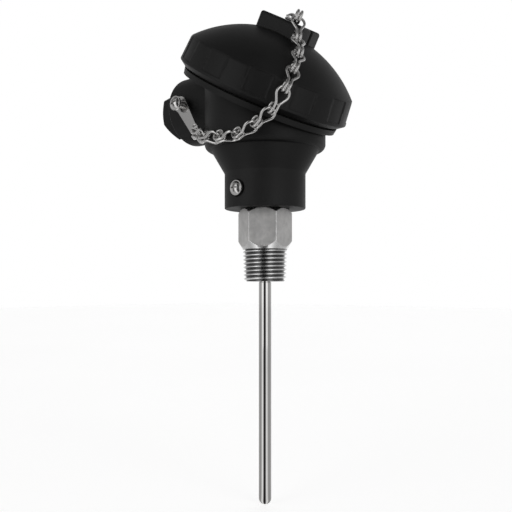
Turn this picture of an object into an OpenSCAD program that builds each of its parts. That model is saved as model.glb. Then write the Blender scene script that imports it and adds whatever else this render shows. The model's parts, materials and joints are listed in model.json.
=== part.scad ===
// Resistance temperature probe: a stainless sheath and pipe-thread fitting under a moulded
// connection head with a slanted screw lid, which a chain of bent-wire links keeps on the head.
// Origin: centre of the thread's lower end face. +Z runs up the sheath, the lid leans to +X,
// the cable boss points to -X and both side screws face -Y. Millimetres.

/* [Sheath] */
// Outer diameter of the sheath
sheath_d = 6; // [4:0.5:7]
// Length of the sheath below the thread
sheath_len = 105.8; // [60:0.1:250]
// Wall of the sheath
sheath_wall = 0.6; // [0.4:0.1:1]
// Length of the sensing element in the sheath's tip
element_len = 25; // [15:1:40]

/* [Process fitting] */
// Length of the tapered pipe thread
thread_len = 15.2; // [12:0.1:22]
// Thread's major diameter at the hexagon
thread_top_d = 21.2; // [20:0.1:22]
// Thread's major diameter at its lower end
thread_end_d = 20.1; // [19:0.1:21]
// Hexagon across its flats
hex_af = 22.2; // [21:0.1:27]
// Height of the hexagon
hex_h = 19; // [14:0.2:25]
// Height of the cone turned on the hexagon's lower corners
hex_low_chamfer = 3.8; // [1:0.1:5]
// Height of the chamfer on the hexagon's upper corners
hex_top_chamfer = 2; // [1:0.1:4]
// Turn of the hexagon about the sheath
hex_turn = -25; // [-30:1:30]
// Diameter of the spigot that screws into the neck
spigot_d = 20.6; // [18:0.2:24]
// Length of the spigot
spigot_len = 13; // [8:0.5:15]

/* [Head] */
// Diameter of the neck
neck_d = 38.4; // [32:0.2:42]
// Height of the neck
neck_h = 16.7; // [14:0.1:22]
// Height of the cone between neck and bowl
cone_h = 10.7; // [8:0.1:14]
// Diameter of the cone where it meets the bowl
cone_top_d = 50.9; // [46:0.1:51.5]
// Diameter of the bowl
bowl_d = 57.2; // [52:0.2:64]
// Rounding of the bowl's lower edge
bowl_edge = 2.8; // [1:0.1:4]
// Wall of the moulded head
head_wall = 3; // [2:0.1:4]
// Thickness of the bowl's floor
floor_t = 4; // [3:0.1:6]
// Height of the lid's rim centre above the bowl's base
lid_rise_from_bowl = 26.9; // [24:0.1:34]

/* [Cable boss] */
// Diameter of the boss
boss_d = 34.2; // [28:0.2:36]
// Distance of the boss's round end from the sheath axis
boss_reach = 50; // [44:0.5:56]
// Height of the boss's axis above the bowl's base
boss_rise = 26; // [22:0.1:28]
// Hexagonal collar at the end of the boss, across flats
collar_af = 21.2; // [19:0.2:27]
// Length of the hexagonal collar
collar_len = 11.6; // [6:0.2:14]
// Bore of the cable entry
entry_d = 14.5; // [12:0.5:16]
// Bore of the passage from the entry to the bowl
passage_d = 21; // [17:0.5:24]

/* [Lid] */
// Lean of the lid's axis from the sheath axis
lid_tilt = 30; // [20:1:35]
// Offset of the lid's rim centre from the sheath axis
lid_shift = -1.6; // [-4:0.1:0]
// Largest diameter of the lid
lid_d = 84.1; // [80:0.1:90]
// Height of the lid's skirt
skirt_h = 13.8; // [13:0.1:18]
// Height of the chamfer on the lid's rim
rim_chamfer_h = 2.1; // [1:0.1:3]
// Width of the chamfer on the lid's rim
rim_chamfer_w = 2.75; // [1:0.05:3]
// Draft of the skirt, radius lost towards the dome
skirt_draft = 1.35; // [0.5:0.05:2]
// Rise of the dome above the skirt
dome_rise = 16.59; // [12:0.01:20]
// Wall of the lid
lid_wall = 3; // [2:0.1:4]
// Number of shallow grip recesses round the skirt
grip_count = 12; // [6:1:18]
// Depth of a grip recess
grip_depth = 0.45; // [0.2:0.05:0.8]

/* [Grip block] */
// Side of the square block on the lid
block_side = 23; // [18:0.1:24]
// Height of the block's top above the dome
block_h = 5.3; // [4:0.1:9]
// Rounding of the block's upright edges
block_edge = 2.4; // [0.5:0.1:3]
// Turn of the block about the lid's axis
block_turn = 18; // [-45:1:45]
// Width of the groove in the block's sides
groove_w = 2.6; // [1:0.1:4]
// Depth of the groove
groove_depth = 1; // [0.5:0.1:2]

/* [Lid thread] */
// Diameter of the threaded collar under the lid
thread_collar_d = 69.6; // [66:0.1:72]
// Height of the collar above the flange
thread_collar_h = 9.6; // [6:0.1:11]
// Inner diameter of the collar
thread_collar_bore = 63; // [58:0.5:64]
// Gap between the lid's rim and the flange
rim_gap = 0.9; // [0.8:0.1:2]
// Diameter of the flange under the lid
flange_d = 77.6; // [74:0.1:80]
// Thickness of the flange
flange_t = 2.64; // [2:0.02:4]

/* [Chain] */
// Diameter of the chain's wire
wire_d = 1.15; // [0.9:0.05:1.3]
// Radius of a link's eye at the middle of the wire
eye_r = 2.95; // [2.7:0.05:3.2]
// Angle at which the eye narrows to the strands
eye_narrowing = 30; // [25:1:40]
// Distance between the two strands of a link
strand_gap = 1.7; // [1.6:0.05:2]
// Radius of the curls at the middle of the wire
curl_r = 2.5; // [2.4:0.05:2.8]
// Turn of a curl
curl_turn = 305; // [270:5:320]
// Distance from a link's eye to the next link's eye
link_pitch = 10.3; // [10:0.1:12]
// Direction in which the swivel link leaves the lid's screw
swivel_turn = -40; // [-60:1:-30]

/* [Screws] */
// Head diameter of the two side screws
side_screw_head_d = 7; // [6:0.1:8]
// Thread diameter of the two side screws
side_screw_d = 3.8; // [3:0.1:4]
// Head diameter of the lid's screw
lid_screw_head_d = 6.8; // [6:0.1:8]
// Thread diameter of the lid's screw
lid_screw_d = 3.8; // [3:0.1:4]

/* [Fits] */
// Radial clearance of the lid's thread
thread_clearance = 0.3; // [0.2:0.05:0.5]
// Radial clearance of parts fastened to each other
fixed_clearance = 0.05; // [0.03:0.01:0.1]
// Gap between pieces that turn on each other
running_gap = 0.2; // [0.1:0.05:0.3]

/* [Terminals] */
// Diameter of the terminal block
terminal_block_d = 42; // [38:0.5:44]
// Height of the terminal block
terminal_block_h = 8; // [6:0.5:10]
// Radius of the circle on which the terminals stand
terminal_circle_r = 13.5; // [12:0.5:15]
// Distance between the two screws that hold the block
block_screw_spacing = 33; // [31:0.5:35]
// Diameter of the insulated leads
lead_d = 0.9; // [0.6:0.05:1]

/* [Hidden] */
$fn = 64;
little = 0.01;
hair = 0.01;
run_in = 0.05;

// Heights along the sheath axis
hex_top = thread_len + hex_h;
bowl_base = hex_top + neck_h + cone_h;
bowl_floor = bowl_base + floor_t;
lid_z = bowl_base + lid_rise_from_bowl;
boss_z = bowl_base + boss_rise;

// Process fitting
thread_chamfer = 1.1;
hex_corner_r = hex_af / sqrt(3);
sheath_seat_r = sheath_d / 2 - 0.25;
sheath_shoulder = 0.5;
sheath_bore_r = sheath_seat_r + fixed_clearance;
sheath_top = hex_top + spigot_len + 4;
seal_h = 6;
seal_cover = 2;

// Head
cavity_r = bowl_d / 2 - head_wall;
neck_edge = 0.6;
entry_wall = 4;
neck_bore_r = spigot_d / 2 + fixed_clearance;
flange_under_r = flange_d / 2 - 0.4;
ledge_t = 1.2;
collar_edge = 1;
reach = 200;

// Side screws: both point to +Y
screw_hole_gap = fixed_clearance;
screw_head_h = 2.5;
neck_screw_z = hex_top + neck_h / 2;
neck_spot_r = side_screw_head_d / 2 + 0.5;
neck_spot_depth = 1.3;
neck_screw_stand_off = 1.6;
lug_screw_x = -42;
lug_screw_rise = 0.8;
lug_screw_z = boss_z + lug_screw_rise;
lug_pad_r = 4;

// Lid
rim_r = lid_d / 2 - rim_chamfer_w;
shoulder_r = lid_d / 2 - skirt_draft;
dome_base_r = shoulder_r - 0.5;
dome_r = (dome_base_r * dome_base_r + dome_rise * dome_rise) / (2 * dome_rise);
apex = skirt_h + dome_rise;
dome_z = apex - dome_r;
block_top = apex + block_h;
lid_bore_r = thread_collar_d / 2 + thread_clearance;
lid_bore_h = 12.4;
block_corner_r = (block_side / 2 - block_edge) * sqrt(2) + block_edge;
grip_low = rim_chamfer_h + 1.2;
screw_pilot_depth = 8;

// Gasket on the flange
gasket_w = 1.8;
gasket_r = thread_collar_d / 2 + 0.3;

// Chain link, laid out along X from the middle of its eye's bar
wire_r = wire_d / 2;
strand_y = strand_gap / 2;
neck_bend_r = 2;
bar_offset = 0.35;
eye_side = (eye_r * cos(eye_narrowing) - strand_y - neck_bend_r * (1 - cos(eye_narrowing)))
    / sin(eye_narrowing);
strand_x = eye_r * (1 + sin(eye_narrowing)) + eye_side * cos(eye_narrowing)
    + neck_bend_r * sin(eye_narrowing);
hinge_x = sqrt(link_pitch * link_pitch - curl_r * curl_r);
curl_x = hinge_x - bar_offset;
link_lean = atan2(curl_r, hinge_x);

// The swivel link lies on the block with its eye round the lid's screw
swivel_h = block_top + wire_r + running_gap / 2;
swivel_curl = block_corner_r + running_gap + 0.3;
swivel_bar = [cos(45) * bar_offset, curl_r - sin(45) * bar_offset];

// Heading, slope and roll of each hanging link
LINK_POSES = [
    [-65, -76, 143], [-44, -55, 159], [-68, -52, 137], [-92, -61, 114], [-167, -52, 38],
    [-179, -26, 24], [-172, -21, 25], [-174, 1, 28], [176, 7, 49], [155, 18, 77],
    [137, 21, 106]
];
LINK_COUNT = len(LINK_POSES);

function heading(pose) = [
    cos(pose[1]) * cos(pose[0]), cos(pose[1]) * sin(pose[0]), sin(pose[1])
];
function bar_way(pose) = cos(pose[2]) * [-sin(pose[0]), cos(pose[0]), 0]
    + sin(pose[2])
        * [-sin(pose[1]) * cos(pose[0]), -sin(pose[1]) * sin(pose[0]), cos(pose[1])];
function lid_point(along, across, h) = [
    lid_shift + along * cos(lid_tilt) + h * sin(lid_tilt),
    across,
    lid_z - along * sin(lid_tilt) + h * cos(lid_tilt)
];
chain_start = lid_point(
    (swivel_curl + swivel_bar[0]) * cos(swivel_turn),
    (swivel_curl + swivel_bar[0]) * sin(swivel_turn),
    swivel_h + swivel_bar[1]
);
function joint_place(i) = i == 0
    ? chain_start
    : joint_place(i - 1) + link_pitch * heading(LINK_POSES[i - 1]);

// The last link's curls run through the lug's slot, where they lie square to the lug's sheet
last_pose = LINK_POSES[LINK_COUNT - 1];
last_bar = bar_way(last_pose);
last_side = cross(heading(last_pose), last_bar);
last_along = cos(link_lean) * heading(last_pose) - sin(link_lean) * last_side;
last_across = sin(link_lean) * heading(last_pose) + cos(link_lean) * last_side;
slot_phase = -atan2(last_along[1], last_across[1]);
lug_slot = joint_place(LINK_COUNT - 1)
    + (curl_x + curl_r * cos(slot_phase)) * last_along
    + curl_r * (1 + sin(slot_phase)) * last_across;
lug_t = 1;
lug_pad_y = lug_slot[1] + lug_t / 2;
lug_end_r = 2.7;
lug_head_r = 3.9;
strap_inset = 0.2;
slot_half = 1.15;
slot_r = 1;
lug_run = [lug_slot[0] - lug_screw_x, lug_slot[1] - lug_pad_y, lug_slot[2] - lug_screw_z];
lug_len = norm([lug_run[0], lug_run[2]]);
lug_fall = atan2(-lug_run[2], lug_run[0]);
slot_turn = atan2(last_bar[2], last_bar[0]) + lug_fall;

// Terminals
block_gap = 3;
terminal_z = bowl_floor + block_gap;
terminal_top = terminal_z + terminal_block_h;
TERMINAL_ANGLES = [-35, 35, 145, 215];
LEAD_ANGLES = [-35, 35, 145];
plate_side = 7;
plate_t = 1.4;
plate_sunk = 0.6;
terminal_screw_d = 3;
terminal_screw_head_d = 5.6;
block_hole_r = 4.4;
post_r = 3.4;
lead_circle_r = 1.15;
lead_bend_r = 2;

// ---------- helpers ----------

// Places its children on the lid's axis, with the lid's rim at height 0
module on_lid_axis() {
    translate([lid_shift, 0, lid_z]) rotate([0, lid_tilt, 0]) children();
}

// Disc or ring profile with a rounded lower outer edge
module rounded_foot(r, h, edge) {
    translate([0, edge]) square([r, h - edge]);
    square([r - edge, edge]);
    translate([r - edge, edge]) circle(edge);
}

// Points its children's +Z to -Y
module facing_minus_y(x, y, z) {
    translate([x, y, z]) rotate([90, 0, 0]) children();
}

// Pan-head screw, head upwards from height 0, with a cross recess
module pan_screw(head_d, head_h, shank_d, shank_len, recess = true) {
    ball_r = (head_d * head_d / 4 + head_h * head_h) / (2 * head_h);
    rim_h = head_h * 0.35;
    difference() {
        union() {
            cylinder(d = head_d, h = rim_h);
            intersection() {
                translate([0, 0, head_h - ball_r]) sphere(ball_r);
                cylinder(d = head_d, h = head_h + 1);
            }
            translate([0, 0, -shank_len]) cylinder(d = shank_d, h = shank_len + little);
        }
        if (recess)
            for (turn = [0, 90])
                rotate([0, 0, turn])
                    translate([-head_d * 0.27, -head_d * 0.06, head_h * 0.45])
                        cube([head_d * 0.54, head_d * 0.12, head_h]);
        if (!recess)
            translate([-head_d, -head_d * 0.07, head_h * 0.55])
                cube([2 * head_d, head_d * 0.14, head_h]);
    }
}

// A bent wire that starts along +X. A step is [length], or [radius, angle, side], where the
// side turns the bend about the wire: 0 bends to +Z, -90 to +Y and 90 to -Y. A straight
// stretch is a hair thinner than the bends, and runs a hair into them, so they join.
module bent_wire(steps, r, i = 0) {
    if (i < len(steps)) {
        step = steps[i];
        if (len(step) == 1) {
            before = i > 0 ? run_in : 0;
            after = i < len(steps) - 1 ? run_in : 0;
            translate([-before, 0, 0]) rotate([0, 90, 0])
                cylinder(r = r - hair, h = before + step[0] + after);
            translate([step[0], 0, 0]) bent_wire(steps, r, i + 1);
        } else {
            rotate([step[2], 0, 0]) {
                translate([0, 0, step[0]]) rotate([90, 0, 0]) rotate([0, 0, -90])
                    rotate_extrude(angle = step[1]) translate([step[0], 0]) circle(r);
                translate([0, 0, step[0]]) rotate([0, -step[1], 0]) translate([0, 0, -step[0]])
                    rotate([-step[2], 0, 0]) bent_wire(steps, r, i + 1);
            }
        }
    }
}

// One wire link from its eye's bar at the origin to its curls, for a given curl position
module wire_link(curl_place) {
    for (side = [0, 1])
        mirror([0, side, 0])
            rotate([0, 0, 90])
                bent_wire([
                    [eye_r, 90 + eye_narrowing, 90],
                    [eye_side],
                    [neck_bend_r, eye_narrowing, -90],
                    [curl_place - strand_x],
                    [curl_r, curl_turn, 0]
                ], wire_r);
}

// ---------- probe ----------

module process_fitting() {
    low_slope = (hex_corner_r - thread_top_d / 2) / hex_low_chamfer;
    top_slope = (hex_corner_r - hex_af / 2) / hex_top_chamfer;
    color("silver")
        difference() {
            union() {
                rotate_extrude()
                    polygon([
                        [0, 0], [thread_end_d / 2 - thread_chamfer, 0],
                        [thread_end_d / 2, thread_chamfer], [thread_top_d / 2, thread_len],
                        [0, thread_len]
                    ]);
                intersection() {
                    translate([0, 0, thread_len]) rotate([0, 0, hex_turn])
                        cylinder(r = hex_corner_r, h = hex_h, $fn = 6);
                    rotate_extrude()
                        polygon([
                            [0, thread_len], [thread_top_d / 2, thread_len],
                            [thread_top_d / 2 + low_slope * hex_h / 2, thread_len + hex_h / 2],
                            [hex_af / 2 + top_slope * hex_h / 2, hex_top - hex_h / 2],
                            [hex_af / 2, hex_top], [0, hex_top]
                        ]);
                }
                translate([0, 0, hex_top]) cylinder(d = spigot_d, h = spigot_len);
            }
            translate([0, 0, -1]) cylinder(r = sheath_bore_r, h = hex_top + spigot_len + 2);
        }
}

// The tube is turned down a little where it sits in the fitting
module sheath() {
    inner_r = sheath_d / 2 - sheath_wall;
    tip_z = sheath_d / 2 - sheath_len;
    color("gainsboro")
        translate([0, 0, tip_z])
            difference() {
                union() {
                    cylinder(r = sheath_seat_r, h = sheath_top - tip_z);
                    cylinder(d = sheath_d, h = -sheath_shoulder - tip_z);
                    sphere(d = sheath_d);
                }
                cylinder(r = inner_r, h = reach + sheath_len);
                sphere(inner_r);
            }
}

module rtd_element() {
    color("white")
        translate([0, 0, sheath_d / 2 - sheath_len])
            cylinder(r = sheath_d / 2 - sheath_wall - fixed_clearance, h = element_len);
}

module lead_wires() {
    start_z = sheath_d / 2 - sheath_len + element_len;
    turn_z = terminal_top + lead_d / 2 + fixed_clearance - lead_bend_r;
    run = terminal_circle_r - plate_side / 2 - fixed_clearance - lead_circle_r - lead_bend_r;
    color("white")
        for (angle = LEAD_ANGLES)
            rotate([0, 0, angle]) translate([lead_circle_r, 0, start_z]) rotate([0, -90, 0])
                bent_wire([[turn_z - start_z], [lead_bend_r, 90, 180], [run]], lead_d / 2);
}

module potting_seal() {
    color("dimgray")
        difference() {
            translate([0, 0, hex_top + spigot_len]) cylinder(r = sheath_d / 2 + 2.4, h = seal_h);
            translate([0, 0, hex_top + spigot_len - 1])
                cylinder(r = sheath_bore_r, h = seal_h - seal_cover + 1);
            for (angle = LEAD_ANGLES)
                rotate([0, 0, angle]) translate([lead_circle_r, 0, hex_top])
                    cylinder(r = lead_d / 2 + fixed_clearance, h = reach);
        }
}

// ---------- head ----------

module housing_shell() {
    // neck and cone
    translate([0, 0, hex_top]) rotate_extrude() rounded_foot(neck_d / 2, neck_h, neck_edge);
    translate([0, 0, hex_top + neck_h])
        cylinder(r1 = neck_d / 2, r2 = cone_top_d / 2, h = cone_h);
    // bowl, cut by the slanted flange
    intersection() {
        translate([0, 0, bowl_base]) rotate_extrude() rounded_foot(bowl_d / 2, reach, bowl_edge);
        on_lid_axis() translate([0, 0, -rim_gap - flange_t / 2 - reach])
            cylinder(r = reach, h = reach);
    }
    on_lid_axis() {
        translate([0, 0, -rim_gap - flange_t])
            cylinder(r1 = flange_under_r, r2 = flange_d / 2, h = flange_t);
        translate([0, 0, -rim_gap - flange_t / 2])
            cylinder(d = thread_collar_d, h = thread_collar_h + flange_t / 2);
    }
    // cable boss, its hexagonal collar and the pad of the chain's lug
    translate([0, 0, boss_z]) rotate([0, -90, 0]) {
        rotate_extrude() {
            square([boss_d / 2 - collar_edge, boss_reach]);
            square([boss_d / 2, boss_reach - collar_edge]);
            translate([boss_d / 2 - collar_edge, boss_reach - collar_edge]) circle(collar_edge);
        }
        rotate([0, 0, 30])
            cylinder(d = collar_af / cos(30), h = boss_reach + collar_len, $fn = 6);
    }
    facing_minus_y(lug_screw_x, 0, lug_screw_z) cylinder(r = lug_pad_r, h = -lug_pad_y);
}

module housing() {
    color([0.09, 0.09, 0.1])
        difference() {
            union() {
                difference() {
                    housing_shell();
                    translate([0, 0, bowl_floor]) cylinder(r = cavity_r, h = reach);
                    on_lid_axis() translate([0, 0, -rim_gap - ledge_t])
                        cylinder(d = thread_collar_bore, h = reach);
                }
                for (side = [-1, 1])
                    translate([0, side * block_screw_spacing / 2, bowl_floor - 1])
                        cylinder(r = post_r, h = block_gap + 1);
            }
            // neck bore, cable entry and screw holes
            translate([0, 0, hex_top - 1]) cylinder(r = neck_bore_r, h = bowl_floor - hex_top + 2);
            translate([0, 0, boss_z]) rotate([0, -90, 0]) {
                translate([0, 0, cavity_r - 2])
                    cylinder(d = passage_d, h = boss_reach - entry_wall - cavity_r + 2);
                translate([0, 0, boss_reach - entry_wall - 1]) cylinder(d = entry_d, h = reach);
            }
            for (side = [-1, 1])
                translate([0, side * block_screw_spacing / 2, bowl_floor])
                    cylinder(d = terminal_screw_d + 2 * screw_hole_gap, h = block_gap + 1);
            facing_minus_y(0, -neck_bore_r + 1, neck_screw_z)
                cylinder(d = side_screw_d + 2 * screw_hole_gap, h = reach);
            facing_minus_y(0, -neck_d / 2 + neck_spot_depth, neck_screw_z)
                cylinder(r = neck_spot_r, h = reach);
            facing_minus_y(lug_screw_x, -passage_d / 2 - 1, lug_screw_z)
                cylinder(d = side_screw_d + 2 * screw_hole_gap, h = reach);
        }
}

module neck_screw() {
    floor_y = -neck_d / 2 + neck_spot_depth - neck_screw_stand_off;
    color("silver")
        facing_minus_y(0, floor_y, neck_screw_z)
            pan_screw(side_screw_head_d, screw_head_h, side_screw_d,
                -floor_y - spigot_d / 2 - running_gap);
}

module lug_screw() {
    color("silver")
        facing_minus_y(lug_screw_x, lug_pad_y - lug_t, lug_screw_z) rotate([0, 0, 20])
            pan_screw(side_screw_head_d, screw_head_h, side_screw_d, lug_t + 4.5);
}

module chain_lug() {
    color("silver")
        translate([lug_screw_x, lug_pad_y, lug_screw_z]) rotate([90, 0, 0])
            rotate([0, 0, -lug_fall])
                difference() {
                    union() {
                        cylinder(r = lug_head_r, h = lug_t);
                        linear_extrude(lug_t)
                            polygon([
                                [0, lug_head_r - strap_inset], [lug_len, lug_end_r - strap_inset],
                                [lug_len, strap_inset - lug_end_r],
                                [0, strap_inset - lug_head_r]
                            ]);
                        translate([lug_len, 0, 0]) cylinder(r = lug_end_r, h = lug_t);
                    }
                    translate([0, 0, -1])
                        cylinder(d = side_screw_d + 2 * screw_hole_gap, h = lug_t + 2);
                    translate([lug_len, 0, -1]) rotate([0, 0, slot_turn]) {
                        translate([-slot_half, hair - slot_r, 0])
                            cube([2 * slot_half, 2 * (slot_r - hair), lug_t + 2]);
                        for (side = [-1, 1])
                            translate([side * slot_half, 0, 0])
                                cylinder(r = slot_r, h = lug_t + 2);
                    }
                }
}

// ---------- terminals ----------

module terminal_block() {
    color("ivory")
        difference() {
            translate([0, 0, terminal_z]) cylinder(d = terminal_block_d, h = terminal_block_h);
            translate([0, 0, terminal_z - 1]) cylinder(r = block_hole_r, h = reach);
            for (angle = TERMINAL_ANGLES)
                rotate([0, 0, angle]) translate([terminal_circle_r, 0, 0]) {
                    translate([-plate_side / 2 - fixed_clearance,
                        -plate_side / 2 - fixed_clearance, terminal_top - plate_sunk])
                        cube([plate_side + 2 * fixed_clearance,
                            plate_side + 2 * fixed_clearance, reach]);
                    translate([0, 0, terminal_z + 1.5])
                        cylinder(d = terminal_screw_d + 2 * screw_hole_gap, h = reach);
                }
            for (side = [-1, 1])
                translate([0, side * block_screw_spacing / 2, terminal_z - 1])
                    cylinder(d = terminal_screw_d + 2 * screw_hole_gap, h = reach);
        }
}

module terminal_plates() {
    color("gold")
        for (angle = TERMINAL_ANGLES)
            rotate([0, 0, angle])
                translate([terminal_circle_r, 0, terminal_top - plate_sunk])
                    difference() {
                        translate([-plate_side / 2, -plate_side / 2, 0])
                            cube([plate_side, plate_side, plate_t]);
                        translate([0, 0, -1])
                            cylinder(d = terminal_screw_d + 2 * screw_hole_gap, h = plate_t + 2);
                    }
}

module terminal_screws() {
    color("silver")
        for (angle = TERMINAL_ANGLES)
            rotate([0, 0, angle])
                translate([terminal_circle_r, 0, terminal_top - plate_sunk + plate_t])
                    rotate([0, 0, 2 * angle])
                        pan_screw(terminal_screw_head_d, 2, terminal_screw_d, 6, false);
}

module block_screws() {
    color("silver")
        for (side = [-1, 1])
            translate([0, side * block_screw_spacing / 2, terminal_top])
                pan_screw(terminal_screw_head_d, 2, terminal_screw_d,
                    terminal_block_h + block_gap - 0.5);
}

// ---------- lid ----------

module lid_skin() {
    rotate_extrude()
        polygon([
            [0, 0], [rim_r, 0], [lid_d / 2, rim_chamfer_h], [shoulder_r, skirt_h - 0.8],
            [dome_base_r, skirt_h], [0, skirt_h]
        ]);
    intersection() {
        translate([0, 0, dome_z]) sphere(dome_r);
        translate([0, 0, skirt_h - 1]) cylinder(r = dome_base_r, h = reach);
    }
}

module grip_block() {
    half = block_side / 2;
    rotate([0, 0, block_turn])
        difference() {
            linear_extrude(block_top)
                union() {
                    square([block_side - 2 * block_edge, block_side], center = true);
                    square([block_side, block_side - 2 * block_edge], center = true);
                    for (x = [-1, 1])
                        for (y = [-1, 1])
                            translate([x, y] * (half - block_edge)) circle(block_edge);
                }
            for (turn = [0, 180])
                rotate([0, 0, turn])
                    translate([half - groove_depth, -groove_w / 2, 0])
                        cube([2 * groove_depth, groove_w, reach]);
        }
}

module lid() {
    color([0.1, 0.1, 0.11])
        on_lid_axis()
            difference() {
                union() {
                    lid_skin();
                    grip_block();
                }
                translate([0, 0, -1]) cylinder(r = lid_bore_r, h = lid_bore_h + 1);
                intersection() {
                    translate([0, 0, dome_z]) sphere(dome_r - lid_wall);
                    cylinder(r = lid_bore_r - 2, h = reach);
                }
                for (k = [0 : grip_count - 1])
                    rotate([0, 0, 360 * k / grip_count])
                        rotate_extrude(angle = 180 / grip_count)
                            polygon([
                                [lid_d / 2 - grip_depth, grip_low],
                                [reach, grip_low], [reach, skirt_h + 1],
                                [shoulder_r - grip_depth, skirt_h + 1]
                            ]);
                translate([0, 0, block_top - screw_pilot_depth])
                    cylinder(d = lid_screw_d + 2 * screw_hole_gap, h = reach);
            }
}

module lid_gasket() {
    color([0.05, 0.05, 0.05])
        on_lid_axis()
            translate([0, 0, -rim_gap])
                difference() {
                    cylinder(r = gasket_r + gasket_w, h = rim_gap - running_gap);
                    translate([0, 0, -1]) cylinder(r = gasket_r, h = rim_gap + 2);
                }
}

module lid_screw() {
    under_head = block_top + wire_d + running_gap;
    color("silver")
        on_lid_axis() translate([0, 0, under_head]) rotate([0, 0, 25])
            pan_screw(lid_screw_head_d, screw_head_h, lid_screw_d,
                under_head - block_top + screw_pilot_depth - 0.5);
}

// ---------- chain ----------

module swivel_link() {
    color("silver")
        on_lid_axis()
            rotate([0, 0, swivel_turn]) translate([-eye_r, 0, swivel_h])
                wire_link(swivel_curl + eye_r);
}

module chain_link(i) {
    pose = LINK_POSES[i];
    color("silver")
        translate(joint_place(i)) rotate([pose[2], -pose[1], pose[0]])
            rotate([0, link_lean, 0]) wire_link(curl_x);
}

housing();
lid();
lid_gasket();
process_fitting();
sheath();
rtd_element();
lead_wires();
potting_seal();
terminal_block();
terminal_plates();
terminal_screws();
block_screws();
neck_screw();
lug_screw();
chain_lug();
lid_screw();
swivel_link();
chain_link(0);  // chain_link_01
chain_link(1);  // chain_link_02
chain_link(2);  // chain_link_03
chain_link(3);  // chain_link_04
chain_link(4);  // chain_link_05
chain_link(5);  // chain_link_06
chain_link(6);  // chain_link_07
chain_link(7);  // chain_link_08
chain_link(8);  // chain_link_09
chain_link(9);  // chain_link_10
chain_link(10);  // chain_link_11
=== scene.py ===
"""Visual model of a resistance temperature probe with a connection head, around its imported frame."""

import json
import math

import bmesh
import bpy
from mathutils import Matrix, Vector


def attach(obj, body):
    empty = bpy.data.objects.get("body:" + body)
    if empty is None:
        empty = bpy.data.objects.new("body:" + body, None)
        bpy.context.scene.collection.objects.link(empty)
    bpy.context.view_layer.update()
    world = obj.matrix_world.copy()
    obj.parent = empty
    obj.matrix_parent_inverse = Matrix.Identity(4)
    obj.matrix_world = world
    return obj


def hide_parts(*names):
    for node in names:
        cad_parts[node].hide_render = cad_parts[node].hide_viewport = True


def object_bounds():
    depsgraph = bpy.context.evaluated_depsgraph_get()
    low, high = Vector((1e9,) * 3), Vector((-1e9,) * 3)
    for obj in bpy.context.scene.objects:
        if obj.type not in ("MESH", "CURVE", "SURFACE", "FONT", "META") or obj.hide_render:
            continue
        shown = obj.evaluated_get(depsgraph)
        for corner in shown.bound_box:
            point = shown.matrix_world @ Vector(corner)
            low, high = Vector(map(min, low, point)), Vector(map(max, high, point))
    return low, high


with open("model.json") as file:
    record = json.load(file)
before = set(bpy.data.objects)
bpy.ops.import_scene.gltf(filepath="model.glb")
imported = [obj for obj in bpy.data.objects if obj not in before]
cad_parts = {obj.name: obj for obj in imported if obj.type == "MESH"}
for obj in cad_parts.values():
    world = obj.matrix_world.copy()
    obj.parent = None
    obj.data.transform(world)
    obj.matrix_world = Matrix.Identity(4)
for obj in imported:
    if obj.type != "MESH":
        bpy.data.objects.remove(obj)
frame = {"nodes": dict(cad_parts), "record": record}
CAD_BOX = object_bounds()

MM = 0.001

# ---------- view ----------

VIEW_AZIMUTH = math.radians(42)
CAMERA_PLACE = Vector((231.0, -263.0, -2.2)) * MM
LENS = 51.8
SENSOR_WIDTH = 36.0
FRAME_RISE = 0.0586
NEAREST = 0.01
FURTHEST = 20.0


def make_camera():
    data = bpy.data.cameras.new("camera")
    data.lens = LENS
    data.sensor_width = SENSOR_WIDTH
    data.shift_y = FRAME_RISE
    data.clip_start, data.clip_end = NEAREST, FURTHEST
    camera = bpy.data.objects.new("camera", data)
    camera.location = CAMERA_PLACE
    camera.rotation_euler = (math.radians(90), 0, VIEW_AZIMUTH)
    bpy.context.scene.collection.objects.link(camera)
    bpy.context.scene.camera = camera


make_camera()

# ---------- materials ----------


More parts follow.
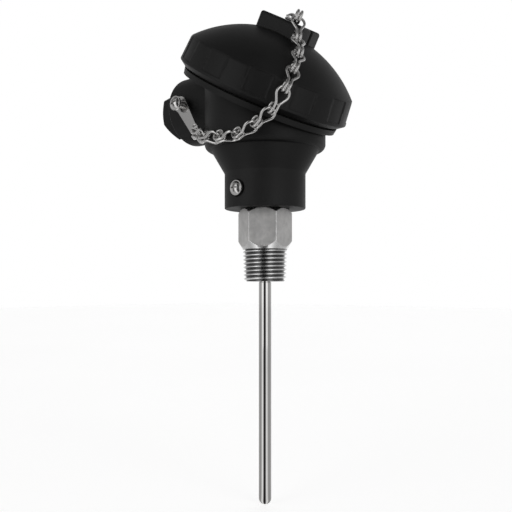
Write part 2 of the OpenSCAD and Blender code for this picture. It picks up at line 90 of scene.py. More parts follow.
class Nodes:
    """Short calls for building a node tree."""

    def __init__(self, owner):
        owner.use_nodes = True
        self.tree = owner.node_tree
        self.tree.nodes.clear()

    def add(self, kind, **values):
        node = self.tree.nodes.new("ShaderNode" + kind)
        for key, value in values.items():
            setattr(node, key, value)
        return node

    def link(self, output, target):
        self.tree.links.new(output, target)

    def set(self, socket, value):
        """Links a socket or sets a plain value."""
        if isinstance(value, bpy.types.NodeSocket):
            self.link(value, socket)
        else:
            socket.default_value = value

    def math(self, kind, a, b=0.0):
        node = self.add("Math", operation=kind)
        self.set(node.inputs[0], a)
        self.set(node.inputs[1], b)
        return node.outputs[0]

    def weighted(self, a, weight_a, b, weight_b):
        """Weighted sum of two values."""
        return self.math("ADD", self.math("MULTIPLY", a, weight_a), self.math("MULTIPLY", b, weight_b))

    def part(self, vector, axis):
        """One coordinate of a vector: X, Y or Z."""
        node = self.add("SeparateXYZ")
        self.link(vector, node.inputs[0])
        return node.outputs[axis]

    def dot(self, a, b):
        node = self.add("VectorMath", operation="DOT_PRODUCT")
        self.set(node.inputs[0], a)
        self.set(node.inputs[1], b)
        return node.outputs["Value"]

    def mix(self, factor, a, b, blend_type="MIX"):
        """Mixes two colours."""
        node = self.add("Mix", data_type="RGBA", blend_type=blend_type)
        self.set(node.inputs["Factor"], factor)
        self.set(node.inputs["A"], a)
        self.set(node.inputs["B"], b)
        return node.outputs["Result"]

    def choose(self, factor, first, second):
        """Shows the first shader where the factor is 0 and the second where it is 1."""
        node = self.add("MixShader")
        self.link(factor, node.inputs[0])
        self.link(first, node.inputs[1])
        self.link(second, node.inputs[2])
        return node.outputs[0]

    def scaled(self, vector, scale):
        node = self.add("Mapping")
        self.link(vector, node.inputs["Vector"])
        node.inputs["Scale"].default_value = scale
        return node.outputs[0]

    def noise(self, vector, scale, detail=2.0, rough=0.5):
        node = self.add("TexNoise")
        self.link(vector, node.inputs["Vector"])
        node.inputs["Scale"].default_value = scale
        node.inputs["Detail"].default_value = detail
        node.inputs["Roughness"].default_value = rough
        return node.outputs["Fac"]

    def span(self, value, low, high, new_low, new_high):
        """Maps the range low to high onto new_low to new_high, and stops at both ends."""
        node = self.add("MapRange")
        self.link(value, node.inputs["Value"])
        limits = {"From Min": low, "From Max": high, "To Min": new_low, "To Max": new_high}
        for name, number in limits.items():
            node.inputs[name].default_value = number
        return node.outputs["Result"]

    def ramp(self, value, stops):
        """Colour ramp with a stop for each pair of place and colour."""
        node = self.add("ValToRGB")
        self.link(value, node.inputs[0])
        marks = node.color_ramp.elements
        for mark, (place, colour) in zip((marks[0], marks[1]), (stops[0], stops[-1])):
            mark.position = place
            mark.color = (*colour, 1.0)
        for place, colour in stops[1:-1]:
            marks.new(place).color = (*colour, 1.0)
        return node.outputs["Color"]

    def bump(self, height, distance, strength=1.0, under=None):
        node = self.add("Bump")
        self.link(height, node.inputs["Height"])
        node.inputs["Distance"].default_value = distance
        node.inputs["Strength"].default_value = strength
        if under is not None:
            self.link(under, node.inputs["Normal"])
        return node.outputs[0]


def edge_normal(n, radius):
    """Normals that round the sharp edges a little."""
    node = n.add("Bevel")
    node.samples = 6
    node.inputs["Radius"].default_value = radius
    return node.outputs[0]


def grey(level, warm=0.0):
    """A near-neutral linear colour."""
    return (level * (1 + warm), level, level * (1 - warm))


def start_material(name):
    """A material with its node helper, its shader and the place on the object."""
    material = bpy.data.materials.new(name)
    nodes = Nodes(material)
    shader = nodes.add("BsdfPrincipled")
    out = nodes.add("OutputMaterial")
    nodes.link(shader.outputs[0], out.inputs["Surface"])
    place = nodes.add("TexCoord").outputs["Object"]
    return material, nodes, shader, place


# Stretch of a texture for marks that run along an axis, round it, or any way
ALONG_Z = (1.0, 1.0, 0.02)
ROUND_Z = (0.03, 0.03, 1.0)
MILLED_Z = (0.05, 0.05, 1.0)
ANY_WAY = (1.0, 1.0, 1.0)
MOULDED_EDGE = 0.35 * MM
METAL_EDGE = 0.15 * MM
MILLED_EDGE = 0.4 * MM
THREAD_EDGE = 0.08 * MM
# How much paler a plastic is below a given height, and over what length that changes
PALE_GAIN = 1.6
PALE_FADE = 0.2 * MM


def plastic(
    name, low, high, rough, grain=5200.0, grain_depth=0.00003, specular=0.3, warm=0.0, pale_below=None
):
    """Moulded plastic: fine eroded texture, slight flow marks, handling sheen, and undersides that reflect
    less as painted shade.
    """
    material, n, shader, place = start_material(name)
    flow = n.noise(place, 90.0, 3.0, 0.55)
    speck = n.noise(place, 2600.0, 1.0)
    tone = n.weighted(flow, 0.7, speck, 0.3)
    base = n.ramp(tone, [(0.3, grey(low, warm)), (0.7, grey(high, warm))])
    if pale_below is not None:
        pale = n.ramp(tone, [(0.3, grey(low * PALE_GAIN, warm)), (0.7, grey(high * PALE_GAIN, warm))])
        below = n.span(n.part(place, "Z"), pale_below, pale_below + PALE_FADE, 1.0, 0.0)
        base = n.mix(below, base, pale)
    n.link(base, shader.inputs["Base Color"])
    worn = n.noise(place, 45.0, 2.0)
    n.link(n.span(worn, 0.3, 0.7, rough - 0.05, rough + 0.05), shader.inputs["Roughness"])
    # Painted shade: faces that look down reflect less, as if they lay in shadow.
    facing = n.add("NewGeometry").outputs["Normal"]
    underside_shade_shine = n.span(n.part(facing, "Z"), -0.95, -0.6, 0.3 * specular, specular)
    n.link(underside_shade_shine, shader.inputs["Specular IOR Level"])
    fine = n.noise(place, grain, 2.0, 0.6)
    uneven = n.noise(place, 140.0, 1.0)
    bump = n.bump(uneven, 0.00006, 0.35, edge_normal(n, MOULDED_EDGE))
    n.link(n.bump(fine, grain_depth, 0.6, bump), shader.inputs["Normal"])
    return material


def metal(name, low, high, rough, stretch, scale, depth, spread=0.07, warm=0.012):
    """Bare metal with fine marks that run along the directions in which the texture is stretched."""
    material, n, shader, place = start_material(name)
    marks = n.noise(n.scaled(place, stretch), scale, 3.0, 0.65)
    cloud = n.noise(place, 60.0, 2.0)
    tone = n.weighted(marks, 0.6, cloud, 0.4)
    n.link(n.ramp(tone, [(0.3, grey(low, warm)), (0.7, grey(high, warm))]), shader.inputs["Base Color"])
    shader.inputs["Metallic"].default_value = 1.0
    mixed = n.weighted(marks, 0.5, cloud, 0.5)
    n.link(n.span(mixed, 0.3, 0.7, rough - spread, rough + spread), shader.inputs["Roughness"])
    n.link(n.bump(marks, depth, 0.5, edge_normal(n, METAL_EDGE)), shader.inputs["Normal"])
    return material


def milled_steel(name):
    """Dull milled steel with mottled faces, a painted highlight along its edges, and turned chamfers that
    are brighter.
    """
    material, n, shader, place = start_material(name)
    marks = n.noise(n.scaled(place, MILLED_Z), 4200.0, 3.0, 0.6)
    cloud = n.noise(place, 420.0, 4.0, 0.62)
    wide = n.noise(place, 110.0, 2.0)
    rounded = edge_normal(n, MILLED_EDGE)
    facing = n.add("NewGeometry").outputs["Normal"]
    # Painted highlight: where the rounded normal leans away from the face, the edge gets a brighter,
    # smoother steel.
    edges = n.span(n.dot(rounded, facing), 0.99, 0.93, 0.0, 1.0)
    lean = n.math("ABSOLUTE", n.part(facing, "Z"))
    edge_highlight_and_turned_chamfer = n.math("MAXIMUM", edges, n.span(lean, 0.15, 0.35, 0.0, 0.8))
    face = n.ramp(n.weighted(cloud, 0.6, wide, 0.4), [(0.32, grey(0.64, 0.01)), (0.68, grey(0.88, 0.01))])
    n.link(n.mix(edge_highlight_and_turned_chamfer, face, (*grey(0.96), 1.0)), shader.inputs["Base Color"])
    shader.inputs["Metallic"].default_value = 1.0
    dull = n.math("MULTIPLY", n.span(cloud, 0.3, 0.7, 0.50, 0.64), n.math("SUBTRACT", 1.0, edge_highlight_and_turned_chamfer))
    n.link(n.math("ADD", dull, n.math("MULTIPLY", edge_highlight_and_turned_chamfer, 0.2)), shader.inputs["Roughness"])
    worn = n.bump(cloud, 0.00005, 0.6, rounded)
    n.link(n.bump(marks, 0.00001, 0.5, worn), shader.inputs["Normal"])
    return material


def cut_thread(name, root_r, crest_r, taper):
    """Steel with bright thread crests over roots darkened by painted shade."""
    material, n, shader, place = start_material(name)
    across = n.math("POWER", n.part(place, "X"), 2.0)
    along = n.math("POWER", n.part(place, "Y"), 2.0)
    radius = n.math("POWER", n.math("ADD", across, along), 0.5)
    radius = n.math("SUBTRACT", radius, n.math("MULTIPLY", n.part(place, "Z"), taper))
    thread_noise = n.noise(n.scaled(place, ROUND_Z), 1500.0, 3.0, 0.6)
    uneven = n.math("MULTIPLY", n.math("SUBTRACT", thread_noise, 0.5), 0.3)
    # Painted shade: the roots are darker than the crests, and the noise shifts a little where that shade
    # falls.
    height = n.math("ADD", n.span(radius, root_r, crest_r, 0.0, 1.0), uneven)
    stops = [(0.0, grey(0.20)), (0.42, grey(0.38)), (0.74, grey(0.70)), (1.0, grey(0.95))]
    n.link(n.ramp(height, stops), shader.inputs["Base Color"])
    shader.inputs["Metallic"].default_value = 1.0
    n.link(n.span(thread_noise, 0.3, 0.7, 0.22, 0.32), shader.inputs["Roughness"])
    n.link(n.bump(thread_noise, 0.00001, 0.5, edge_normal(n, THREAD_EDGE)), shader.inputs["Normal"])
    return material


NECK_TOP = 50.9 * MM
MATERIALS = {
    "head_moulding": plastic("black_moulding", 0.010, 0.014, 0.55, pale_below=NECK_TOP),
    "lid_moulding": plastic("black_lid_moulding", 0.009, 0.013, 0.52),
    "gasket_rubber": plastic("black_rubber", 0.006, 0.010, 0.7, 3000.0),
    "fitting_steel": milled_steel("milled_steel"),
    "sheath_steel": metal("drawn_steel", 0.56, 0.66, 0.06, ALONG_Z, 6000.0, 0.000003, 0.015),
    "element_ceramic": plastic("white_ceramic", 0.70, 0.80, 0.25, 2500.0, 0.00001, 0.5),
    "lead_insulation": plastic("white_insulation", 0.68, 0.78, 0.45, 2500.0, 0.00001, 0.5),
    "potting_resin": plastic("dark_resin", 0.03, 0.05, 0.35, 1800.0, 0.00003, 0.5),
    "block_moulding": plastic("ivory_moulding", 0.60, 0.70, 0.38, 3500.0, 0.00002, 0.5, 0.12),
    "terminal_brass": metal("plain_brass", 0.45, 0.55, 0.3, ANY_WAY, 2500.0, 0.00001, warm=0.35),
    "screw_steel": metal("plated_steel", 0.62, 0.74, 0.22, ANY_WAY, 2200.0, 0.00001),
    "chain_steel": metal("plated_wire", 0.60, 0.72, 0.20, ANY_WAY, 2600.0, 0.00001),
}
SLOT_OF = {part["node"]: part["material_slot"] for part in frame["record"]["subparts"]}


def finish_node(name):
    """Gives a CAD node the finish of its record slot."""
    obj = frame["nodes"][name]
    material = MATERIALS[SLOT_OF[name]]
    if not obj.material_slots:
        obj.data.materials.append(material)
    for place in obj.material_slots:
        place.material = material


for node_name in frame["nodes"]:
    finish_node(node_name)

# ---------- pieces ----------

CAD_WELD = 2e-7
WELD = 1e-6
CUT_LIMIT = 1e-7
CREASE = 32.0
LID_CREASE = 35.0


def new_piece(name, mesh, body, slot, *nodes):
    """Links a mesh as a piece that rides on a body and stands for CAD nodes."""
    obj = bpy.data.objects.new(name, mesh)
    bpy.context.scene.collection.objects.link(obj)
    mesh.materials.clear()
    mesh.materials.append(MATERIALS[slot])
    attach(obj, body)
    if nodes:
        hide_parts(*nodes)
    return obj


def cad_copy(node):
    """A welded copy of a CAD node's mesh as a bmesh."""
    bm = bmesh.new()
    bm.from_mesh(frame["nodes"][node].data)
    bmesh.ops.remove_doubles(bm, verts=bm.verts, dist=CAD_WELD)
    return bm


def cut_away(bm, point, direction):
    """Cuts off what lies past a plane, and returns the edges round the cut."""
    geometry = bm.verts[:] + bm.edges[:] + bm.faces[:]
    cut = bmesh.ops.bisect_plane(
        bm, geom=geometry, dist=CUT_LIMIT, plane_co=point, plane_no=direction, clear_outer=True
    )
    return [item for item in cut["geom_cut"] if isinstance(item, bmesh.types.BMEdge)]


def skin(bm, rows):
    """Faces between each row of points and the next."""
    for row, after in zip(rows, rows[1:]):
        for k in range(len(row) - 1):
            bm.faces.new((row[k], row[k + 1], after[k + 1], after[k]))


def weld(bm):
    """Joins points that meet and drops the faces that have no width left."""
    bmesh.ops.remove_doubles(bm, verts=bm.verts, dist=WELD)
    bmesh.ops.dissolve_degenerate(bm, edges=bm.edges, dist=WELD)


def to_mesh(bm, name, crease=CREASE):
    """Turns a bmesh into a smooth-shaded mesh with sharp edges over the crease angle."""
    bmesh.ops.recalc_face_normals(bm, faces=bm.faces)
    limit = math.radians(crease)
    for face in bm.faces:
        face.smooth = True
    for edge in bm.edges:
        edge.smooth = len(edge.link_faces) == 2 and edge.calc_face_angle(0.0) < limit
    mesh = bpy.data.meshes.new(name)
    bm.to_mesh(mesh)
    bm.free()
    return mesh


# ---------- threaded fitting ----------

THREAD_LEN = 15.2 * MM
THREAD_TOP_R = 10.6 * MM
THREAD_END_R = 10.05 * MM
THREAD_PITCH = 1.814 * MM
THREAD_DEPTH = 1.3 * MM
THREAD_CHAMFER = 1.1 * MM
THREAD_TAPER = (THREAD_TOP_R - THREAD_END_R) / THREAD_LEN
# How far the thread runs up inside the hexagon
THREAD_OVERLAP = 0.2 * MM
THREAD_STEPS = 96
# Share of the pitch and of the depth along one groove, from crest to crest
THREAD_FORM = [(0.0, 0.0), (0.08, 0.0), (0.12, 0.06), (0.44, 0.94), (0.48, 1.0), (0.54, 1.0),
               (0.58, 0.94), (0.90, 0.06)]


def add_thread(bm):
    """A right-handed tapered thread with rows along its helix, closed by an annulus below."""
    turns = int(THREAD_LEN / THREAD_PITCH) + 2
    levels = [(turn + share, depth) for turn in range(-1, turns) for share, depth in THREAD_FORM]
    top = THREAD_LEN + THREAD_OVERLAP
    rows = []
    for level, depth in levels:
        row = []
        for step in range(THREAD_STEPS + 1):
            part = step / THREAD_STEPS
            z = min(max((level + part) * THREAD_PITCH, 0.0), top)
            crest = THREAD_END_R + THREAD_TAPER * z
            r = min(crest - depth * THREAD_DEPTH, THREAD_END_R - THREAD_CHAMFER + z)
            angle = 2 * math.pi * part
            row.append(bm.verts.new((r * math.cos(angle), r * math.sin(angle), z)))
        rows.append(row)
    skin(bm, rows)
    weld(bm)


def make_hexagon():
    """The fitting from CAD, without the thread."""
    bm = cad_copy("process_fitting")
    cut_away(bm, (0, 0, THREAD_LEN), (0, 0, -1))
    mesh = to_mesh(bm, "hexagon_fitting")
    new_piece("hexagon_fitting", mesh, "head", "fitting_steel", "process_fitting")


def make_thread():
    bm = bmesh.new()
    add_thread(bm)
    piece = new_piece("pipe_thread", to_mesh(bm, "pipe_thread"), "head", "fitting_steel")
    steel = cut_thread("cut_steel", THREAD_END_R - THREAD_DEPTH, THREAD_END_R, THREAD_TAPER)
    piece.data.materials[0] = steel


make_hexagon()
make_thread()

# ---------- head with its cable entry ----------

# In millimetres. Reach is the distance from the probe's axis along the boss
BOSS_Z = 87.6
BOSS_REACH = 50.0
JOINT_LAP = 0.02
COLLAR_END = 61.6
COLLAR_FLAT = 10.6
COLLAR_FACE_R = 10.3
COLLAR_CHAMFER = math.tan(math.radians(30))
COLLAR_STEPS = 144
ENTRY_R = 7.25
ENTRY_MOUTH_R = 8.25
ENTRY_PITCH = 1.5
ENTRY_DEPTH = 0.65
ENTRY_LEAD = 0.5
# Share of the pitch and of the depth along one groove, from the mouth inwards
ENTRY_FORM = [(0.85, 0.0), (0.55, 1.0), (0.45, 1.0), (0.15, 0.0)]
PAD_X = -42.0
PAD_Z = 88.4
PAD_R = 3.98
PAD_T = 1.0
PAD_SEGMENTS = 64


def hexagon_r(turn):
    """Distance from the middle of the collar's hexagon to its side, with a flat at turn 0."""
    sixth = math.pi / 3
    return COLLAR_FLAT / math.cos((turn + sixth / 2) % sixth - sixth / 2)


def entry_point(level, depth, turn):
    """Reach and radius of a point on the entry's thread, which fades out at its inner end."""
    reach = BOSS_REACH + (level - turn / (2 * math.pi)) * ENTRY_PITCH
    reach = min(max(reach, BOSS_REACH + JOINT_LAP), COLLAR_END)
    grown = min(max((reach - BOSS_REACH - ENTRY_LEAD) / ENTRY_PITCH, 0.0), 1.0)
    mouth = ENTRY_MOUTH_R - (COLLAR_END - reach)
    return reach, max(ENTRY_R + depth * grown * ENTRY_DEPTH, mouth)


def collar_section(turn):
    """Reach and radius along the collar, from the boss over the end face into the threaded bore."""
    side = hexagon_r(turn)
    yield BOSS_REACH - JOINT_LAP, side
    yield COLLAR_END - COLLAR_CHAMFER * (side - COLLAR_FACE_R), side
    yield COLLAR_END, COLLAR_FACE_R
    grooves = int((COLLAR_END - BOSS_REACH) / ENTRY_PITCH) + 1
    for groove in range(grooves, -2, -1):
        for share, depth in ENTRY_FORM:
            yield entry_point(groove + share, depth, turn)


def add_pad(bm):
    """A disc that closes the screw hole which the moved lug leaves in sight."""
    face = max(vert.co.y for vert in frame["nodes"]["chain_lug"].data.vertices)
    depth = PAD_T * MM
    middle = Vector((PAD_X * MM, face + depth / 2 - JOINT_LAP * MM, PAD_Z * MM))
    upright = Matrix.Translation(middle) @ Matrix.Rotation(math.radians(90), 4, "X")
    bmesh.ops.create_cone(
        bm, cap_ends=True, segments=PAD_SEGMENTS, radius1=PAD_R * MM, radius2=PAD_R * MM,
        depth=depth, matrix=upright
    )


def make_cast_head():
    """The head from CAD, cut off where the collar starts and closed at the old screw hole."""
    bm = cad_copy("housing")
    rim = cut_away(bm, ((-BOSS_REACH - JOINT_LAP) * MM, 0, 0), (-1, 0, 0))
    bmesh.ops.triangle_fill(bm, use_beauty=True, edges=rim)
    add_pad(bm)
    new_piece("cast_head", to_mesh(bm, "cast_head"), "head", SLOT_OF["housing"], "housing")


def make_collar():
    """The hexagonal end of the boss, with the threaded bore for the cable entry."""
    bm = bmesh.new()
    rows = []
    for step in range(COLLAR_STEPS + 1):
        turn = 2 * math.pi * step / COLLAR_STEPS
        row = []
        for reach, r in collar_section(turn):
            place = Vector((-reach, r * math.cos(turn), BOSS_Z + r * math.sin(turn)))
            row.append(bm.verts.new(place * MM))
        rows.append(row)
    skin(bm, rows)
    weld(bm)
    new_piece("entry_collar", to_mesh(bm, "entry_collar"), "head", SLOT_OF["housing"])


make_cast_head()
make_collar()

# ---------- lug and its screw ----------

LUG_SHIFT = Vector((5.1, 0.0, -2.0)) * MM
# Shares of the lug's height: where the shift begins, and over how much it grows
LUG_BEND_START = 0.35
LUG_BEND = 0.3
SCREW_OUT = 2.6 * MM
# Points up to this far behind the lug's face belong to the screw's head
HEAD_DEPTH = 0.05 * MM


def make_lug():
    """The lug with its upper end further in; its slot for the chain stays."""
    bm = cad_copy("chain_lug")
    low = min(vert.co.z for vert in bm.verts)
    high = max(vert.co.z for vert in bm.verts)
    for vert in bm.verts:
        share = (vert.co.z - low) / (high - low)
        vert.co += LUG_SHIFT * min(max((share - LUG_BEND_START) / LUG_BEND, 0.0), 1.0)
    new_piece("lug_plate", to_mesh(bm, "lug_plate"), "head", SLOT_OF["chain_lug"], "chain_lug")


def make_lug_screw():
    """The lug's screw, backed out so that its head stands clear of the lug."""
    bm = cad_copy("lug_screw")
    face = min(vert.co.y for vert in frame["nodes"]["chain_lug"].data.vertices)
    for vert in bm.verts:
        vert.co += LUG_SHIFT
        if vert.co.y < face + HEAD_DEPTH:
            vert.co.y -= SCREW_OUT
    mesh = to_mesh(bm, "backed_out_screw")
    new_piece("backed_out_screw", mesh, "head", SLOT_OF["lug_screw"], "lug_screw")


make_lug()
make_lug_screw()

# ---------- lid ----------

LID_FRAME = Matrix.Translation(Vector((-1.6, 0.0, 88.5)) * MM) @ Matrix.Rotation(math.radians(30), 4, "Y")
LID_R = 42.05
RIM_R = 39.3
RIM_CHAMFER_H = 2.1
SHOULDER_R = 40.7
SKIRT_H = 13.8
DOME_BASE_R = 40.2
DOME_R = 57.0
DOME_Z = -26.61
LID_WALL = 3.0
LID_BORE_R = 35.1
LID_BORE_H = 12.4
LID_LEDGE = 2
LID_CORNER_R = 0.35
SHOULDER_H = SKIRT_H - 0.8
DOME_STEPS = 24
# The dome's points past this one are rounded together with the skirt
DOME_KEPT = 20
INNER_STEPS = 16
GRIP_COUNT = 12
GRIP_DEPTH = 0.3
GRIP_TOP_H = 8.0
GRIP_FOOT_H = 3.6
GRIP_END_H = 3.2
GRIP_RISER = math.radians(0.3)
GRIP_STEPS = 8
BLOCK_HALF = 11.5
BLOCK_TOP = 35.69
BLOCK_FOOT = 26.6
BLOCK_CORNER_R = 2.4
BLOCK_LEAST_R = 0.4
BLOCK_TOP_R = 1.3
BLOCK_TURN = math.radians(18)
BLOCK_SIDE_H = (BLOCK_FOOT, 29.0, 32.0)
BLOCK_CORNER_STEPS = 8
BLOCK_TOP_STEPS = 6
GROOVE_HALF = 1.3
GROOVE_DEPTH = 1.0
GROOVE_LIP = 0.15
GROOVE_FOOT = 0.25


def softened(points, radius, steps=4):
    """Rounds the inner corners of a profile; each point keeps what follows its two coordinates."""
    result = [points[0]]
    for before, here, after in zip(points, points[1:], points[2:]):
        corner = Vector(here[:2])
        start, end = Vector(before[:2]) - corner, Vector(after[:2]) - corner
        reach = min(radius, start.length * 0.45, end.length * 0.45)
        a, b = corner + start.normalized() * reach, corner + end.normalized() * reach
        for step in range(steps + 1):
            t = step / steps
            point = a * (1 - t) ** 2 + corner * 2 * t * (1 - t) + b * t ** 2
            result.append((point.x, point.y, *here[2:]))
    result.append(points[-1])
    return result


def skirt_slope(h):
    """Radius of the skirt between its rim and its shoulder."""
    share = (h - RIM_CHAMFER_H) / (SHOULDER_H - RIM_CHAMFER_H)
    return LID_R + (SHOULDER_R - LID_R) * share


def dome_arc(radius, edge_r, steps):
    """Points of an arc round the dome's middle, from beside its apex out to an edge radius."""
    edge = math.asin(edge_r / radius)
    turns = [edge * k / steps for k in range(1, steps + 1)]
    return [(radius * math.sin(turn), DOME_Z + radius * math.cos(turn), 0.0) for turn in turns]


def lid_profile():
    """Radius, height and share of the grip recess, from the apex down the outside and back up inside."""
    outside = dome_arc(DOME_R, DOME_BASE_R, DOME_STEPS)
    outside.append((SHOULDER_R, SHOULDER_H, 0.9))
    outside.append((skirt_slope(GRIP_TOP_H), GRIP_TOP_H, 1.0))
    outside.append((skirt_slope(GRIP_FOOT_H), GRIP_FOOT_H, 1.0))
    outside.append((skirt_slope(GRIP_END_H), GRIP_END_H, 0.0))
    outside.append((LID_R, RIM_CHAMFER_H, 0.0))
    outside.append((RIM_R, 0.0, 0.0))
    outside.append((LID_BORE_R, 0.0, 0.0))
    outside.append((LID_BORE_R, LID_BORE_H, 0.0))
    outside.append((LID_BORE_R - LID_LEDGE, LID_BORE_H, 0.0))
    inside = dome_arc(DOME_R - LID_WALL, LID_BORE_R - LID_LEDGE, INNER_STEPS)
    return outside[:DOME_KEPT] + softened(outside[DOME_KEPT:], LID_CORNER_R) + inside[::-1]


def grip_angles():
    """Angles round the lid, with how deep the grip recess is at each."""
    half = math.pi / GRIP_COUNT
    for k in range(2 * GRIP_COUNT):
        recessed = k % 2 == 0
        for share in (0.0, 0.5, 1.0):
            yield k * half + GRIP_RISER * (2 * share - 1), share if recessed else 1 - share
        for step in range(1, GRIP_STEPS):
            yield (k + step / GRIP_STEPS) * half, 1.0 if recessed else 0.0


def add_lid_skin(bm):
    profile = lid_profile()
    rows = []
    for angle, grip in grip_angles():
        row = []
        for r, h, share in profile:
            r -= grip * share * GRIP_DEPTH
            row.append(bm.verts.new((r * math.cos(angle), r * math.sin(angle), h)))
        rows.append(row)
    rows.append(rows[0])
    skin(bm, rows)
    for index, h in ((0, DOME_Z + DOME_R), (-1, DOME_Z + DOME_R - LID_WALL)):
        middle = bm.verts.new((0, 0, h))
        for row, after in zip(rows, rows[1:]):
            bm.faces.new((row[index], after[index], middle))


def groove_outline(half, groove):
    """Points across a groove in a side of the block, whose face is half its width from the middle."""
    lip = half - GROOVE_LIP * (groove > 0)
    foot = half - groove
    right = [(foot, GROOVE_HALF - GROOVE_FOOT), (lip, GROOVE_HALF), (half, GROOVE_HALF + GROOVE_LIP)]
    left = [(x, -y) for x, y in right[::-1]]
    return left + right


def block_outline(inset):
    """Corners of the block's outline, moved in by an inset, with a groove in two of its sides."""
    half = BLOCK_HALF - inset
    r = max(BLOCK_CORNER_R - inset, BLOCK_LEAST_R)
    groove = max(GROOVE_DEPTH - inset, 0.0)
    points = []
    for quarter in range(4):
        side = groove_outline(half, groove) if quarter % 2 == 0 else []
        for step in range(BLOCK_CORNER_STEPS + 1):
            turn = math.pi / 2 * step / BLOCK_CORNER_STEPS
            side.append((half - r + r * math.cos(turn), half - r + r * math.sin(turn)))
        turned = Matrix.Rotation(quarter * math.pi / 2, 2)
        points += [turned @ Vector(point) for point in side]
    return points


def add_block(bm):
    """The square block on top of the lid, with rounded top edges."""
    levels = [(0.0, h) for h in BLOCK_SIDE_H]
    for step in range(BLOCK_TOP_STEPS + 1):
        turn = math.pi / 2 * step / BLOCK_TOP_STEPS
        levels.append((BLOCK_TOP_R * (1 - math.cos(turn)), BLOCK_TOP - BLOCK_TOP_R * (1 - math.sin(turn))))
    turned = Matrix.Rotation(BLOCK_TURN, 3, "Z")
    rings = []
    for inset, h in levels:
        rings.append([bm.verts.new(turned @ Vector((x, y, h))) for x, y in block_outline(inset)])
    skin(bm, [ring + ring[:1] for ring in rings])
    bm.faces.new(rings[0][::-1])
    bm.faces.new(rings[-1])


def make_lid():
    """The lid with its grip and the block on top, built upright and then leant into place."""
    bm = bmesh.new()
    add_lid_skin(bm)
    add_block(bm)
    bmesh.ops.scale(bm, vec=(MM, MM, MM), verts=bm.verts)
    bmesh.ops.transform(bm, matrix=LID_FRAME, verts=bm.verts)
    mesh = to_mesh(bm, "screw_lid", LID_CREASE)
    new_piece("screw_lid", mesh, "lid", "lid_moulding", "lid")


make_lid()

# ---------- light, floor and world ----------


STRIP_DISTANCE = 0.9
STRIP_HEIGHT = 0.05
STRIP_SIZE = (0.22, 1.3)
STRIP_RADIANCE = 0.5
STRIP_AIM = Vector((0, 0, 0.03))
STUDIO_AZIMUTH = VIEW_AZIMUTH - math.radians(9)
STUDIO_STRENGTH = 1.15
# Brightness against the cosine of the angle from the studio's azimuth
STUDIO = [(-1.0, 1.0), (-0.87, 0.8), (-0.7, 0.48), (-0.26, 0.46), (0.19, 0.34), (0.545, 0.58), (0.8, 1.3),
          (0.951, 0.3), (0.985, 0.02), (1.0, 0.01)]
# Brightness against height, from straight down to straight up
STUDIO_FALL = [(0.0, 0.35), (0.35, 0.9), (0.55, 1.0), (0.75, 0.6), (1.0, 0.14)]
FLOOR_SIZE = 6.0
FLOOR_DROP = 0.3 * MM


def make_strip(name, azimuth):
    """A tall soft box that faces the object. The azimuth is in degrees from the camera's side."""
    data = bpy.data.lights.new(name, "AREA")
    data.shape = "RECTANGLE"
    data.size, data.size_y = STRIP_SIZE
    data.energy = STRIP_RADIANCE * math.pi * data.size * data.size_y
    light = bpy.data.objects.new(name, data)
    angle = VIEW_AZIMUTH + math.radians(azimuth)
    back = Vector((math.sin(angle), -math.cos(angle), 0))
    light.location = back * STRIP_DISTANCE + Vector((0, 0, STRIP_HEIGHT))
    light.rotation_euler = (STRIP_AIM - light.location).to_track_quat("-Z", "Y").to_euler()
    bpy.context.scene.collection.objects.link(light)


def studio_level(n, way):
    """Brightness of the studio in a direction, which depends on its azimuth only."""
    level = n.add("VectorMath", operation="NORMALIZE")
    n.link(n.scaled(way, (1, 1, 0)), level.inputs[0])
    front = (math.sin(STUDIO_AZIMUTH), -math.cos(STUDIO_AZIMUTH), 0)
    cosine = n.dot(level.outputs[0], front)
    side = n.math("ADD", n.math("MULTIPLY", cosine, 0.5), 0.5)
    return n.ramp(side, [(0.5 * place + 0.5, grey(value)) for place, value in STUDIO])


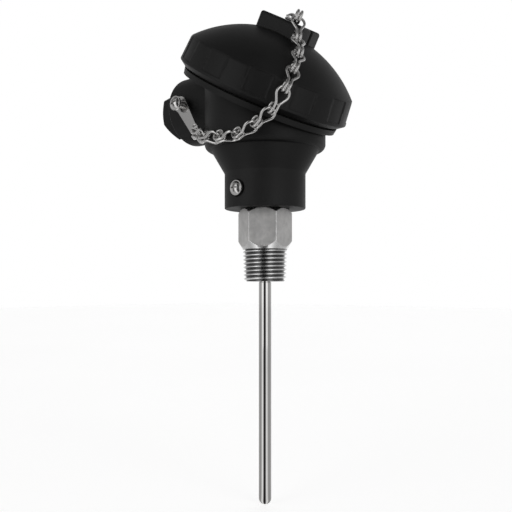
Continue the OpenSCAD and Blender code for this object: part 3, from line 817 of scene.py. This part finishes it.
def make_world():
    """White to camera and transmission rays, and the bands of the studio to all others."""
    world = bpy.data.worlds.new("studio")
    bpy.context.scene.world = world
    n = Nodes(world)
    out = n.add("OutputWorld")
    seen = n.add("Background")
    seen.inputs["Color"].default_value = (1, 1, 1, 1)
    lit = n.add("Background")
    way = n.add("TexCoord").outputs["Generated"]
    height = n.span(n.part(way, "Z"), -1.0, 1.0, 0.0, 1.0)
    fall = n.ramp(height, [(place, grey(value)) for place, value in STUDIO_FALL])
    n.link(n.mix(1.0, studio_level(n, way), fall, "MULTIPLY"), lit.inputs["Color"])
    lit.inputs["Strength"].default_value = STUDIO_STRENGTH
    path = n.add("LightPath")
    plain = n.math("MAXIMUM", path.outputs["Is Camera Ray"], path.outputs["Is Transmission Ray"])
    n.link(n.choose(plain, lit.outputs[0], seen.outputs[0]), out.inputs["Surface"])


def floor_material():
    """A pale floor that glows to the camera, shows the studio in reflections and throws less light up."""
    material = bpy.data.materials.new("pale_floor")
    n = Nodes(material)
    out = n.add("OutputMaterial")
    shader = n.add("BsdfPrincipled")
    place = n.add("TexCoord").outputs["Object"]
    path = n.add("LightPath")
    pale = n.ramp(n.noise(place, 3.0), [(0.3, grey(0.78)), (0.7, grey(0.82))])
    tint = n.mix(path.outputs["Is Diffuse Ray"], pale, (*grey(0.35), 1.0))
    n.link(tint, shader.inputs["Base Color"])
    shader.inputs["Roughness"].default_value = 0.8
    glow = n.add("Emission")
    glow.inputs["Strength"].default_value = 0.7
    both = n.add("AddShader")
    n.link(shader.outputs[0], both.inputs[0])
    n.link(glow.outputs[0], both.inputs[1])
    mirrored = n.add("Emission")
    n.link(studio_level(n, place), mirrored.inputs["Color"])
    unseen = n.choose(path.outputs["Is Glossy Ray"], shader.outputs[0], mirrored.outputs[0])
    n.link(n.choose(path.outputs["Is Camera Ray"], unseen, both.outputs[0]), out.inputs["Surface"])
    return material


def make_floor():
    lowest = CAD_BOX[0].z
    bpy.ops.mesh.primitive_plane_add(size=FLOOR_SIZE, location=(0, 0, lowest - FLOOR_DROP))
    floor = bpy.context.object
    floor.name = "floor"
    floor.data.materials.append(floor_material())


make_strip("strip_left", -36)
make_strip("strip_right", 36)
make_world()
make_floor()
bpy.context.scene.view_settings.view_transform = "Standard"
